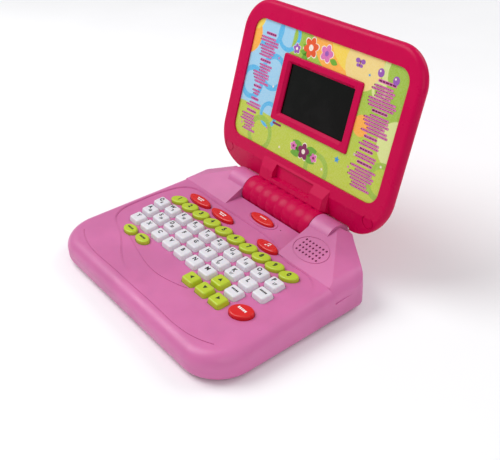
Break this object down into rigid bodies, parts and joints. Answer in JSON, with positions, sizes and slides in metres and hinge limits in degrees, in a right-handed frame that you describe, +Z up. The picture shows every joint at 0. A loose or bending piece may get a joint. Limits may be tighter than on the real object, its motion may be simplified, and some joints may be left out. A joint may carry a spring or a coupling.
{
  "type": "toy laptop computer",
  "caption": "Wedge-shaped toy keyboard computer with a rounded lid on a ribbed barrel hinge, a small framed screen in a printed panel and springy keys.",
  "frame": {"origin": "on the table under the middle of the object's box, with the lid open as in the rest pose", "axes": "+X to the user's right along the hinge, +Y to the back, +Z up"},
  "size_m": [0.2406, 0.2304, 0.1965],
  "materials": {
    "light_pink_shell": "satin moulded ABS",
    "raspberry_shell": "satin moulded ABS",
    "white_key": "smooth, printed legend",
    "lime_key": "smooth, printed legend",
    "red_key": "smooth, printed legend",
    "screen_tint": "clear window over a dark display",
    "printed_film": "printed film",
    "dark_plastic": "moulded",
    "board": "laminate",
    "membrane": "silicone",
    "foot_rubber": "soft rubber",
    "screw_metal": "zinc plated",
    "contact_metal": "plated spring strip",
    "cell_jacket": "plain cell jacket"
  },
  "bodies": {
    "base": {"lower_case": "light_pink_shell", "upper_case": "light_pink_shell", "battery_door": "light_pink_shell", "batteries": "cell_jacket", "battery_contacts": "contact_metal", "circuit_board": "board", "key_membrane": "membrane", "speaker": "dark_plastic", "case_screws": "screw_metal", "rubber_feet": "foot_rubber", "hinge_pins": "dark_plastic"},
    "lid": {"lid_front": "raspberry_shell", "lid_back": "raspberry_shell", "hinge_barrel": "raspberry_shell", "screen_window": "screen_tint", "lcd_module": "dark_plastic", "graphic_panel": "printed_film", "lid_screws": "screw_metal"},
    "number_keys_1_2": {"number_keys_1_2": "lime_key"},
    "number_keys_3_4": {"number_keys_3_4": "lime_key"},
    "number_keys_5_6": {"number_keys_5_6": "lime_key"},
    "number_keys_7_8": {"number_keys_7_8": "lime_key"},
    "number_keys_9_0": {"number_keys_9_0": "lime_key"},
    "key_q": {"key_q": "white_key"},
    "key_w": {"key_w": "white_key"},
    "key_e": {"key_e": "white_key"},
    "key_r": {"key_r": "white_key"},
    "key_t": {"key_t": "white_key"},
    "key_z": {"key_z": "white_key"},
    "key_u": {"key_u": "white_key"},
    "key_i": {"key_i": "white_key"},
    "key_o": {"key_o": "white_key"},
    "key_p": {"key_p": "white_key"},
    "key_a": {"key_a": "white_key"},
    "key_s": {"key_s": "white_key"},
    "key_d": {"key_d": "white_key"},
    "key_f": {"key_f": "white_key"},
    "key_g": {"key_g": "white_key"},
    "key_h": {"key_h": "white_key"},
    "key_j": {"key_j": "white_key"},
    "key_k": {"key_k": "white_key"},
    "key_l": {"key_l": "white_key"},
    "reset_key": {"reset_key": "white_key"},
    "key_y": {"key_y": "white_key"},
    "key_x": {"key_x": "white_key"},
    "key_c": {"key_c": "white_key"},
    "key_v": {"key_v": "white_key"},
    "key_b": {"key_b": "white_key"},
    "key_n": {"key_n": "white_key"},
    "key_m": {"key_m": "white_key"},
    "arrow_up_key": {"arrow_up_key": "lime_key"},
    "erase_key": {"erase_key": "white_key"},
    "arrow_left_key": {"arrow_left_key": "lime_key"},
    "arrow_down_key": {"arrow_down_key": "lime_key"},
    "arrow_right_key": {"arrow_right_key": "lime_key"},
    "left_function_keys": {"left_function_keys": "lime_key"},
    "enter_key": {"enter_key": "red_key"},
    "mode_keys": {"mode_keys": "red_key"},
    "music_key": {"music_key": "red_key"},
    "power_button": {"power_button": "red_key"}
  },
  "joints": [
    {"name": "lid_hinge", "type": "hinge", "parent": "base", "child": "lid", "pos_m": [0, 0.05119, 0.03642], "axis": [1, 0, 0], "range_deg": [-8, 109.5]},
    {"name": "number_keys_1_2_press", "type": "slide", "parent": "base", "child": "number_keys_1_2", "axis": [0, 0.0698, -0.9976], "range_m": [0, 0.0015], "stiffness_N_per_m": 300, "springref_m": -0.001},
    {"name": "number_keys_3_4_press", "type": "slide", "parent": "base", "child": "number_keys_3_4", "axis": [0, 0.0698, -0.9976], "range_m": [0, 0.0015], "stiffness_N_per_m": 300, "springref_m": -0.001},
    {"name": "number_keys_5_6_press", "type": "slide", "parent": "base", "child": "number_keys_5_6", "axis": [0, 0.0698, -0.9976], "range_m": [0, 0.0015], "stiffness_N_per_m": 300, "springref_m": -0.001},
    {"name": "number_keys_7_8_press", "type": "slide", "parent": "base", "child": "number_keys_7_8", "axis": [0, 0.0698, -0.9976], "range_m": [0, 0.0015], "stiffness_N_per_m": 300, "springref_m": -0.001},
    {"name": "number_keys_9_0_press", "type": "slide", "parent": "base", "child": "number_keys_9_0", "axis": [0, 0.0698, -0.9976], "range_m": [0, 0.0015], "stiffness_N_per_m": 300, "springref_m": -0.001},
    {"name": "key_q_press", "type": "slide", "parent": "base", "child": "key_q", "axis": [0, 0.0698, -0.9976], "range_m": [0, 0.0015], "stiffness_N_per_m": 300, "springref_m": -0.001},
    {"name": "key_w_press", "type": "slide", "parent": "base", "child": "key_w", "axis": [0, 0.0698, -0.9976], "range_m": [0, 0.0015], "stiffness_N_per_m": 300, "springref_m": -0.001},
    {"name": "key_e_press", "type": "slide", "parent": "base", "child": "key_e", "axis": [0, 0.0698, -0.9976], "range_m": [0, 0.0015], "stiffness_N_per_m": 300, "springref_m": -0.001},
    {"name": "key_r_press", "type": "slide", "parent": "base", "child": "key_r", "axis": [0, 0.0698, -0.9976], "range_m": [0, 0.0015], "stiffness_N_per_m": 300, "springref_m": -0.001},
    {"name": "key_t_press", "type": "slide", "parent": "base", "child": "key_t", "axis": [0, 0.0698, -0.9976], "range_m": [0, 0.0015], "stiffness_N_per_m": 300, "springref_m": -0.001},
    {"name": "key_z_press", "type": "slide", "parent": "base", "child": "key_z", "axis": [0, 0.0698, -0.9976], "range_m": [0, 0.0015], "stiffness_N_per_m": 300, "springref_m": -0.001},
    {"name": "key_u_press", "type": "slide", "parent": "base", "child": "key_u", "axis": [0, 0.0698, -0.9976], "range_m": [0, 0.0015], "stiffness_N_per_m": 300, "springref_m": -0.001},
    {"name": "key_i_press", "type": "slide", "parent": "base", "child": "key_i", "axis": [0, 0.0698, -0.9976], "range_m": [0, 0.0015], "stiffness_N_per_m": 300, "springref_m": -0.001},
    {"name": "key_o_press", "type": "slide", "parent": "base", "child": "key_o", "axis": [0, 0.0698, -0.9976], "range_m": [0, 0.0015], "stiffness_N_per_m": 300, "springref_m": -0.001},
    {"name": "key_p_press", "type": "slide", "parent": "base", "child": "key_p", "axis": [0, 0.0698, -0.9976], "range_m": [0, 0.0015], "stiffness_N_per_m": 300, "springref_m": -0.001},
    {"name": "key_a_press", "type": "slide", "parent": "base", "child": "key_a", "axis": [0, 0.0698, -0.9976], "range_m": [0, 0.0015], "stiffness_N_per_m": 300, "springref_m": -0.001},
    {"name": "key_s_press", "type": "slide", "parent": "base", "child": "key_s", "axis": [0, 0.0698, -0.9976], "range_m": [0, 0.0015], "stiffness_N_per_m": 300, "springref_m": -0.001},
    {"name": "key_d_press", "type": "slide", "parent": "base", "child": "key_d", "axis": [0, 0.0698, -0.9976], "range_m": [0, 0.0015], "stiffness_N_per_m": 300, "springref_m": -0.001},
    {"name": "key_f_press", "type": "slide", "parent": "base", "child": "key_f", "axis": [0, 0.0698, -0.9976], "range_m": [0, 0.0015], "stiffness_N_per_m": 300, "springref_m": -0.001},
    {"name": "key_g_press", "type": "slide", "parent": "base", "child": "key_g", "axis": [0, 0.0698, -0.9976], "range_m": [0, 0.0015], "stiffness_N_per_m": 300, "springref_m": -0.001},
    {"name": "key_h_press", "type": "slide", "parent": "base", "child": "key_h", "axis": [0, 0.0698, -0.9976], "range_m": [0, 0.0015], "stiffness_N_per_m": 300, "springref_m": -0.001},
    {"name": "key_j_press", "type": "slide", "parent": "base", "child": "key_j", "axis": [0, 0.0698, -0.9976], "range_m": [0, 0.0015], "stiffness_N_per_m": 300, "springref_m": -0.001},
    {"name": "key_k_press", "type": "slide", "parent": "base", "child": "key_k", "axis": [0, 0.0698, -0.9976], "range_m": [0, 0.0015], "stiffness_N_per_m": 300, "springref_m": -0.001},
    {"name": "key_l_press", "type": "slide", "parent": "base", "child": "key_l", "axis": [0, 0.0698, -0.9976], "range_m": [0, 0.0015], "stiffness_N_per_m": 300, "springref_m": -0.001},
    {"name": "reset_key_press", "type": "slide", "parent": "base", "child": "reset_key", "axis": [0, 0.0698, -0.9976], "range_m": [0, 0.0015], "stiffness_N_per_m": 300, "springref_m": -0.001},
    {"name": "key_y_press", "type": "slide", "parent": "base", "child": "key_y", "axis": [0, 0.0698, -0.9976], "range_m": [0, 0.0015], "stiffness_N_per_m": 300, "springref_m": -0.001},
    {"name": "key_x_press", "type": "slide", "parent": "base", "child": "key_x", "axis": [0, 0.0698, -0.9976], "range_m": [0, 0.0015], "stiffness_N_per_m": 300, "springref_m": -0.001},
    {"name": "key_c_press", "type": "slide", "parent": "base", "child": "key_c", "axis": [0, 0.0698, -0.9976], "range_m": [0, 0.0015], "stiffness_N_per_m": 300, "springref_m": -0.001},
    {"name": "key_v_press", "type": "slide", "parent": "base", "child": "key_v", "axis": [0, 0.0698, -0.9976], "range_m": [0, 0.0015], "stiffness_N_per_m": 300, "springref_m": -0.001},
    {"name": "key_b_press", "type": "slide", "parent": "base", "child": "key_b", "axis": [0, 0.0698, -0.9976], "range_m": [0, 0.0015], "stiffness_N_per_m": 300, "springref_m": -0.001},
    {"name": "key_n_press", "type": "slide", "parent": "base", "child": "key_n", "axis": [0, 0.0698, -0.9976], "range_m": [0, 0.0015], "stiffness_N_per_m": 300, "springref_m": -0.001},
    {"name": "key_m_press", "type": "slide", "parent": "base", "child": "key_m", "axis": [0, 0.0698, -0.9976], "range_m": [0, 0.0015], "stiffness_N_per_m": 300, "springref_m": -0.001},
    {"name": "arrow_up_key_press", "type": "slide", "parent": "base", "child": "arrow_up_key", "axis": [0, 0.0698, -0.9976], "range_m": [0, 0.0015], "stiffness_N_per_m": 300, "springref_m": -0.001},
    {"name": "erase_key_press", "type": "slide", "parent": "base", "child": "erase_key", "axis": [0, 0.0698, -0.9976], "range_m": [0, 0.0015], "stiffness_N_per_m": 300, "springref_m": -0.001},
    {"name": "arrow_left_key_press", "type": "slide", "parent": "base", "child": "arrow_left_key", "axis": [0, 0.0698, -0.9976], "range_m": [0, 0.0015], "stiffness_N_per_m": 300, "springref_m": -0.001},
    {"name": "arrow_down_key_press", "type": "slide", "parent": "base", "child": "arrow_down_key", "axis": [0, 0.0698, -0.9976], "range_m": [0, 0.0015], "stiffness_N_per_m": 300, "springref_m": -0.001},
    {"name": "arrow_right_key_press", "type": "slide", "parent": "base", "child": "arrow_right_key", "axis": [0, 0.0698, -0.9976], "range_m": [0, 0.0015], "stiffness_N_per_m": 300, "springref_m": -0.001},
    {"name": "left_function_keys_press", "type": "slide", "parent": "base", "child": "left_function_keys", "axis": [0, 0.0698, -0.9976], "range_m": [0, 0.0015], "stiffness_N_per_m": 300, "springref_m": -0.001},
    {"name": "enter_key_press", "type": "slide", "parent": "base", "child": "enter_key", "axis": [0, 0.0698, -0.9976], "range_m": [0, 0.0015], "stiffness_N_per_m": 300, "springref_m": -0.001},
    {"name": "mode_keys_press", "type": "slide", "parent": "base", "child": "mode_keys", "axis": [0, 0.0698, -0.9976], "range_m": [0, 0.0015], "stiffness_N_per_m": 300, "springref_m": -0.001},
    {"name": "music_key_press", "type": "slide", "parent": "base", "child": "music_key", "axis": [0, 0.0698, -0.9976], "range_m": [0, 0.0015], "stiffness_N_per_m": 300, "springref_m": -0.001},
    {"name": "power_button_press", "type": "slide", "parent": "base", "child": "power_button", "axis": [0, 0.0698, -0.9976], "range_m": [0, 0.0015], "stiffness_N_per_m": 300, "springref_m": -0.001}
  ]
}
